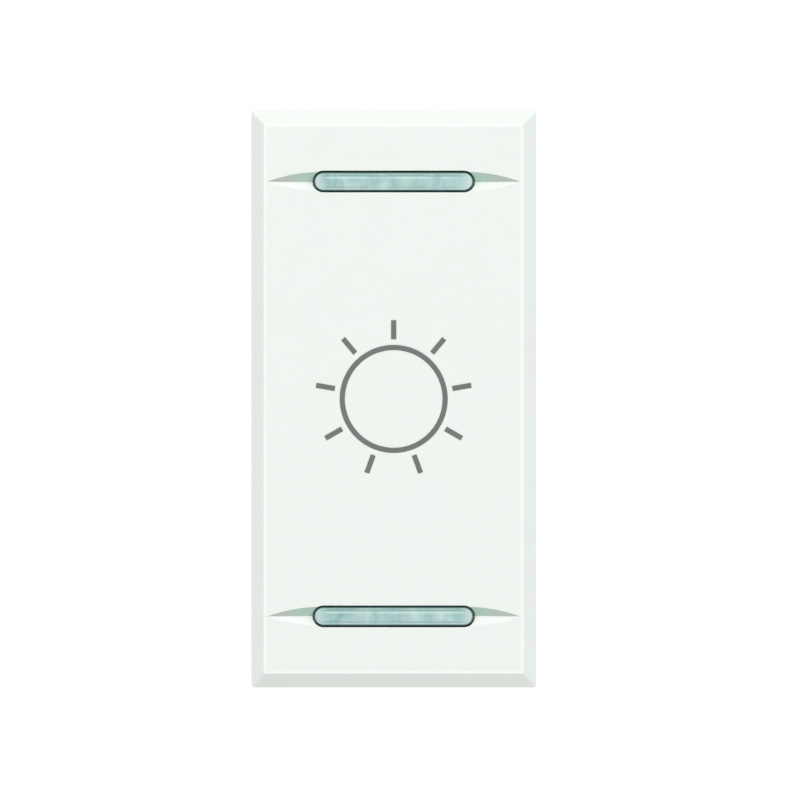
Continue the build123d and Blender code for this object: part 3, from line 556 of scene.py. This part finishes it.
def electrolytic_can():
    """Dark sleeve with a pale polarity stripe, bare aluminium top with a scored cross."""
    look = Look("electrolytic_can")
    low, high = box_mm("electrolytic_capacitor")
    board_rear_y = box_mm("control_board")[1].y
    dx = look.calc("SUBTRACT", look.x, (low.x + high.x) / 2)
    dz = look.calc("SUBTRACT", look.z, (low.z + high.z) / 2)
    rim_depth, stripe_start, score_half_width, score_reach = 0.215, 2.32, 0.1, 1.45
    top = look.past(look.y, high.y - rim_depth, 0.035)
    lead = look.short_of(look.y, board_rear_y - 0.025, 0.025)
    stripe = look.past(look.calc("ARCTAN2", dz, dx), stripe_start, 0.02)
    sleeve = look.shade(paint(26, 34, 66), 0.1, look.noise(1.0, detail=3))
    sleeve = look.mix(sleeve, paint(196, 200, 210), stripe)
    cross = look.either(*[look.short_of(look.away(d), score_half_width, 0.02) for d in (dx, dz)])
    score = look.both(cross, look.short_of(look.reach(dx, dz), score_reach, 0.05), top)
    bare = look.either(top, lead)
    colour = look.mix(sleeve, paint(200, 202, 204), bare)
    rings = look.noise(0.1, detail=2, seed=2)
    normal = look.bump(look.calc("SUBTRACT", rings, look.calc("MULTIPLY", score, 12)), 0.004)
    return look.finish(colour, look.between(0.35, 0.28, bare), metallic=bare, normal=normal)


def film_box():
    """Red epoxy-filled box; its sealed underside is matt and its leads are tinned."""
    look = Look("film_box")
    board_x = box_mm("power_board")[1].x
    lead = look.short_of(look.x, board_x + 0.01, 0.04)
    underside = look.short_of(look.facing[0], -0.6, 0.1)
    sealed = look.both(underside, look.short_of(look.x, board_x + 0.35, 0.05))
    case = look.shade(paint(168, 44, 30), 0.06, look.noise(2.5, detail=3))
    case = look.mix(case, paint(128, 40, 30), sealed)
    return look.finish(
        look.mix(case, TIN, lead),
        look.between(0.3, 0.62, look.both(sealed, look.outside(lead))),
        metallic=lead,
        normal=look.bump(look.noise(0.15, detail=3), 0.003),
    )


def tinned_part(name, body, is_metal, rough_body=0.5, mark=None):
    """A moulded body and tinned leads in one piece; is_metal gives the leads' mask."""
    look = Look(name)
    leads = is_metal(look)
    grain = look.noise(0.12, detail=3, rough=0.6)
    moulding = look.shade(body, 0.12, grain)
    if mark:
        moulding = mark(look, moulding)
    plated = look.shade(TIN, 0.08, look.noise(0.25, detail=3, seed=3))
    rough = look.between(rough_body, 0.3, leads)
    normal = look.bump(grain, 0.003, look.edges(0.06))
    return look.finish(look.mix(moulding, plated, leads), rough, metallic=leads, normal=normal)


def beyond_body(centre_x, half_body):
    """A mask for the leads that stand out at both sides of a body, along X."""
    return lambda look: look.past(look.away(look.x, centre_x), half_body, 0.02)


def chip_ends(*centres):
    """A mask for the tinned ends of small chips that lie along X about the given centres."""
    end_start, chip_reach = 0.645, 1.15

    def mask(look):
        ends = []
        for centre in centres:
            away = look.away(look.x, centre)
            past_body = look.past(away, end_start, 0.025)
            ends.append(look.both(past_body, look.short_of(away, chip_reach, 0.05)))
        return look.either(*ends)

    return mask


def pin_one_mark(look, colour):
    """A light dimple beside the controller's first pin."""
    low, high = box_mm("microcontroller")
    from_side, from_top, radius = 1.2, 0.8, 0.3
    dx = look.calc("SUBTRACT", look.x, low.x + from_side)
    dz = look.calc("SUBTRACT", look.z, high.z - from_top)
    return look.mix(colour, paint(58, 59, 61), look.short_of(look.reach(dx, dz), radius, 0.02))


# ---------------------------------------------------------------- springs and domes


def skinned(name, skins, material):
    """A piece made of closed skins, each skinned over rings of points with equal counts."""
    work = bmesh.new()
    for rings in skins:
        rows = [[work.verts.new(point) for point in ring] for ring in rings]
        count = len(rows[0])
        for row, following in zip(rows, rows[1:]):
            for n in range(count):
                after = (n + 1) % count
                work.faces.new((row[n], row[after], following[after], following[n]))
        work.faces.new(list(reversed(rows[0])))
        work.faces.new(rows[-1])
    bmesh.ops.recalc_face_normals(work, faces=work.faces)
    for face in work.faces:
        face.smooth = True
    mesh = bpy.data.meshes.new(name)
    work.to_mesh(mesh)
    work.free()
    mesh.materials.append(material)
    piece = bpy.data.objects.new(name, mesh)
    bpy.context.scene.collection.objects.link(piece)
    return piece


def turned(profile, centre, axis, sides):
    """Rings of points for a profile of (radius, place along the axis) turned about it."""
    across = [n for n in range(3) if n != axis]
    rings = []
    for radius, along in profile:
        ring = []
        for side in range(sides):
            angle = 2 * math.pi * side / sides
            point = Vector(centre)
            point[axis] = along
            point[across[0]] += radius * math.cos(angle)
            point[across[1]] += radius * math.sin(angle)
            ring.append(point)
        rings.append(ring)
    return rings


def spring_rings(node):
    """A compression spring with closed, ground ends in the place of a CAD spring."""
    low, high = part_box(node)
    centre_x, centre_z = (low.x + high.x) / 2, (low.z + high.z) / 2
    wire = 0.175 * MM
    coil = (high.x - low.x) / 2 - wire
    turns, end_turns = 5.0, 0.9
    steps_per_turn, sides = 48, 12
    end_pitch = 2.05 * wire
    # grinding leaves the first and last turn's middle this far inside the spring's ends
    ground = 0.35 * wire
    first = low.y + ground
    travel = (high.y - ground) - first
    free_pitch = (travel - 2 * end_turns * end_pitch) / (turns - 2 * end_turns)

    def rise(turn):
        """Height of the wire's middle above its start after some turns."""
        opened = min(max(turn - end_turns, 0), turns - 2 * end_turns)
        closed = turn - opened
        return closed * end_pitch + opened * free_pitch

    rings = []
    for n in range(int(turns * steps_per_turn) + 1):
        turn = n / steps_per_turn
        angle = 2 * math.pi * turn
        out = Vector((math.cos(angle), 0, math.sin(angle)))
        middle = Vector((centre_x, first + rise(turn), centre_z)) + coil * out
        ring = []
        for side in range(sides):
            around = 2 * math.pi * side / sides
            point = middle + wire * (math.cos(around) * out + math.sin(around) * Vector((0, 1, 0)))
            point.y = min(max(point.y, low.y), high.y)
            ring.append(point)
        rings.append(ring)
    return rings


def dome_rings(node):
    """A snap dome turned about its axis: a thin crowned disc with a small centre dimple."""
    low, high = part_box(node)
    centre = ((low.x + high.x) / 2, 0, (low.z + high.z) / 2)
    rim = (high.x - low.x) / 2
    rise = high.y - low.y
    sheet = 0.1 * MM
    dimple_depth, dimple_radius = 0.05 * MM, 0.45 * MM
    steps, sides = 24, 64

    def crown(radius):
        """Place of the outer face at a radius, with a dimple at the middle."""
        dimple = dimple_depth * math.exp(-((radius / dimple_radius) ** 2))
        return high.y - rise * (1 - (radius / rim) ** 2) + dimple

    outer = [(rim * n / steps, crown(rim * n / steps)) for n in range(1, steps + 1)]
    inner = [(radius - 0.6 * sheet, min(y + sheet, high.y)) for radius, y in reversed(outer[1:])]
    return turned(outer + inner, centre, 1, sides)


def add_springs_and_domes(spring_steel, dome_steel):
    """Replaces the plain CAD springs and domes with skinned pieces in their places."""
    # a pin crosses a gap before it presses its dome, so a dome's crown moves less than the pin:
    # the dome's blend is this many times the dome's height
    dome_blend = 2.4
    for level in LEVELS:
        for node, name, rings, steel, blend in (
            (f"{level}_return_spring", f"{level}_spring", spring_rings, spring_steel, 1),
            (f"{level}_dome", f"{level}_snap_dome", dome_rings, dome_steel, dome_blend),
        ):
            piece = skinned(name, [rings(node)], steel)
            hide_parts(node)
            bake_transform(piece)


# ---------------------------------------------------------------- solder joints


def lead_tips(node, axis, board_face):
    """Middle, place and half-width of each lead end that stands past a board's face."""
    clear_of_board, lead_spacing = 0.1 * MM, 1.2 * MM
    groups = []
    for vertex in nodes[node].data.vertices:
        place = vertex.co
        if place[axis] > board_face - clear_of_board:
            continue
        for group in groups:
            if (group[0] - place).length < lead_spacing:
                group.append(place)
                break
        else:
            groups.append([place])
    tips = []
    for group in groups:
        low = Vector([min(place[n] for place in group) for n in range(3)])
        high = Vector([max(place[n] for place in group) for n in range(3)])
        widths = [(high - low)[n] for n in range(3) if n != axis]
        tips.append(((low + high) / 2, low[axis], max(widths) / 2))
    return tips


def solder_fillet(tip, axis, board_face):
    """A concave cone of solder from the board's face almost to the lead's tip."""
    middle, tip_place, half_width = tip
    height = 0.85 * (board_face - tip_place)
    top = 1.25 * half_width
    foot = top + 0.36 * MM
    hollow, steps, sides = 2.2, 10, 24
    profile = []
    for n in range(steps + 1):
        rise = n / steps
        profile.append((top + (foot - top) * (1 - rise) ** hollow, board_face - height * rise))
    return turned(profile, middle, axis, sides)


def add_solder(material):
    """Solder joints on the outer faces of both boards, one round each lead."""
    through_power = ("header_pins", "film_capacitor", "choke_winding", "fuse_clips",
                     "triac_leadframe", *[f"{name}_contact" for name in TERMINALS])
    through_control = ("header_pins", "electrolytic_capacitor")
    for board, axis, parts in (("power", 0, through_power), ("control", 1, through_control)):
        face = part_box(f"{board}_board")[0][axis]
        fillets = [
            solder_fillet(tip, axis, face) for part in parts for tip in lead_tips(part, axis, face)
        ]
        piece = skinned(f"{board}_board_solder", fillets, material)
        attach(piece, "housing")


# ---------------------------------------------------------------- materials on the CAD nodes


def use(material, *names):
    """Gives the CAD nodes a material."""
    for name in names:
        nodes[name].data.materials.clear()
        nodes[name].data.materials.append(material)


def each_level(part):
    """The names of the upper and the lower one of a part."""
    return [f"{level}_{part}" for level in LEVELS]


def dress_front():
    """The key with its windows and symbol, the rocker, the pins and the light guides."""
    use(key_plastic(), "key_cover")
    use(symbol_ink(), "sun_symbol")
    for level in LEVELS:
        use(light_window(level), f"{level}_window")
    use(moulded("rocker_plastic", paint(232, 233, 229), 0.42, texture=0.003), "rocker")
    pin_plastic = moulded("pin_plastic", paint(46, 48, 52), 0.3, texture=0.001, cell=0.3)
    use(pin_plastic, *each_level("push_pin"))
    use(clear_guide(), *each_level("light_guide"))


def dress_housing():
    """The carrier frame, the case and the terminals."""
    white, grey, dark = paint(222, 224, 222), paint(216, 218, 217), paint(58, 61, 64)
    use(moulded("frame_plastic", white, 0.46, texture=0.035, cell=0.34), "carrier_frame")
    use(moulded("case_plastic", grey, 0.52, texture=0.07, cell=0.42), "case_shell")
    use(moulded("cover_plastic", dark, 0.5, texture=0.07, cell=0.42), "rear_cover")
    zinc = metal("zinc_steel", STEEL, 0.3, stain=paint(186, 190, 204))
    use(zinc, *[f"{name}_{part}" for name in TERMINALS for part in ("screw", "clamp")])
    brass = metal("contact_brass", BRASS, 0.28, brush=(1, 0.06, 1), stain=paint(176, 128, 62))
    use(brass, *[f"{name}_contact" for name in TERMINALS])


def dress_boards():
    """Both boards and the small parts on the control board."""
    use(laminate("control_laminate", "x", "z", "y"), "control_board")
    use(laminate("power_laminate", "y", "z", "x"), "power_board")
    use(led_package(), *each_level("led"))
    switch_half_body, controller_half_body, chip_half_length = 3.12, 1.98, 1.0
    leads = beyond_body(0.0, switch_half_body)
    use(tinned_part("switch_body", BLACK, leads), *each_level("switch_base"))
    low, high = box_mm("microcontroller")
    leads = beyond_body((low.x + high.x) / 2, controller_half_body)
    use(tinned_part("chip_package", BLACK, leads, 0.45, pin_one_mark), "microcontroller")
    low, high = box_mm("chip_resistors")
    ends = chip_ends(low.x + chip_half_length, high.x - chip_half_length)
    use(tinned_part("resistor_chip", BLACK, ends), "chip_resistors")
    low, high = box_mm("chip_capacitors")
    ends = chip_ends((low.x + high.x) / 2)
    use(tinned_part("capacitor_chip", paint(176, 142, 104), ends), "chip_capacitors")
    use(electrolytic_can(), "electrolytic_capacitor")
    use(metal("tinned_brass", paint(208, 200, 176), 0.3), "header_pins")


def dress_power_parts():
    """The capacitor, choke, fuse, triac and heat sink on the power board."""
    use(film_box(), "film_capacitor")
    use(enamelled_wire(), "choke_winding")
    use(iron_paint(), "choke_core")
    use(fuse_tube(), "fuse_glass")
    use(metal("nickel_plate", paint(204, 200, 190), 0.22), "fuse_caps", "fuse_clips", "fuse_wire")
    use(moulded("black_moulding", BLACK, 0.48, texture=0.003), "header_strip", "triac_body")
    use(moulded("pad_silicone", paint(196, 178, 176), 0.7, texture=0.006), "insulating_pad")
    use(metal("tinned_copper", TIN, 0.34), "triac_leadframe")
    use(metal("rivet_aluminium", paint(206, 208, 210), 0.3), "triac_rivet")
    use(metal("sink_aluminium", paint(200, 203, 206), 0.34, brush=(1, 1, 0.04)), "heat_sink")


# ---------------------------------------------------------------- studio and camera

WHITE = (1.0, 1.0, 1.0)
# strength at which a glowing surface reads as plain white in the picture
SEEN_WHITE = 1.05


def world_light():
    """Even studio light, strongest from the front; white behind everything."""
    base, from_right, from_front, from_above, side_fall = 0.845, 0.088, 0.682, 0.09, 0.18
    darkest = 0.08
    world = bpy.data.worlds.new("studio")
    bpy.context.scene.world = world
    world.use_nodes = True
    graph = Graph(world.node_tree)
    direction = graph.node("TexCoord").outputs["Generated"]
    lean = graph.node(
        "VectorMath",
        {0: direction, 1: (from_right, -from_front, from_above)},
        operation="DOT_PRODUCT",
    ).outputs["Value"]
    sideways = graph.node("SeparateXYZ", {0: direction}).outputs[0]
    squared = graph.calc("MULTIPLY", sideways, sideways)
    level = graph.calc("ADD", lean, graph.calc("MULTIPLY_ADD", squared, -side_fall, base))
    level = graph.calc("MAXIMUM", level, darkest)
    lit = graph.node("Background", {"Color": WHITE, "Strength": level}).outputs[0]
    seen = graph.node("Background", {"Color": WHITE, "Strength": SEEN_WHITE}).outputs[0]
    graph.node("OutputWorld", {"Surface": graph.for_camera(seen, lit)})


def floor():
    """A light table: white with soft shadows to the camera, an even glow to the object."""
    size, gap = 4.0, 0.4 * MM
    glow = 0.695
    # lighter than any paint, so that only the soft shadows are darker than white
    table_white = (1.5, 1.5, 1.5)
    # where the camera sees the table at a grazing angle, it sees plain white
    shadow_angle, plain_angle = 0.22, 0.10
    bpy.ops.mesh.primitive_plane_add(size=size, location=(0, 0, cad_box[0].z - gap))
    plane = bpy.context.object
    plane.name = "floor"
    material = bpy.data.materials.new("floor_white")
    material.use_nodes = True
    graph = Graph(material.node_tree)
    geometry = graph.node("NewGeometry")
    steepness = graph.node(
        "VectorMath",
        {0: geometry.outputs["Incoming"], 1: geometry.outputs["Normal"]},
        operation="DOT_PRODUCT",
    ).outputs["Value"]
    grazing = graph.step(steepness, shadow_angle, plain_angle)
    shadowed = graph.node("BsdfDiffuse", {"Color": table_white}).outputs[0]
    plain = graph.node("Emission", {"Strength": SEEN_WHITE}).outputs[0]
    seen = graph.node("MixShader", {0: grazing, 1: shadowed, 2: plain}).outputs[0]
    bounced = graph.node("Emission", {"Strength": glow}).outputs[0]
    graph.node("OutputMaterial", {"Surface": graph.for_camera(seen, bounced)})
    plane.data.materials.append(material)


def softbox(name, place, target, side, power):
    """A square area light at a place, facing a target."""
    lamp = bpy.data.lights.new(name, "AREA")
    lamp.shape = "SQUARE"
    lamp.size = side
    lamp.energy = power
    holder = bpy.data.objects.new(name, lamp)
    holder.location = place
    holder.rotation_euler = (Vector(target) - Vector(place)).to_track_quat("-Z", "Y").to_euler()
    bpy.context.scene.collection.objects.link(holder)


def camera():
    """Straight in front of the key, far enough off for a flat, square-on picture."""
    view_side = 62.42 * MM
    lens_length, sensor = 150.0, 36.0
    right, up = 0.49 * MM, -0.08 * MM
    bevel_rear_y = (KEY_FACE_Y + BEVEL_DEPTH) * MM
    distance = view_side * lens_length / sensor
    lens = bpy.data.cameras.new("front_camera")
    lens.lens = lens_length
    lens.sensor_width = sensor
    lens.clip_start = 0.01
    lens.clip_end = 10
    holder = bpy.data.objects.new("front_camera", lens)
    holder.location = (right, bevel_rear_y - distance, up)
    holder.rotation_euler = (math.radians(90), 0, 0)
    bpy.context.scene.collection.objects.link(holder)
    bpy.context.scene.camera = holder


dress_front()
dress_housing()
dress_boards()
dress_power_parts()
add_springs_and_domes(
    metal("spring_wire", paint(188, 190, 196), 0.24, corner=0.02),
    metal("dome_steel", paint(206, 206, 204), 0.18, corner=0.02),
)
add_solder(metal("solder", paint(198, 200, 202), 0.3, grain=0.3, depth=0.006, corner=0.03))
world_light()
floor()
softbox("back_light", place=(0.09, 0.50, 0.10), target=(0, 0.01, 0), side=0.26, power=1.5)
camera()
scene = bpy.context.scene
scene.view_settings.view_transform = "Standard"
scene.view_settings.look = "None"
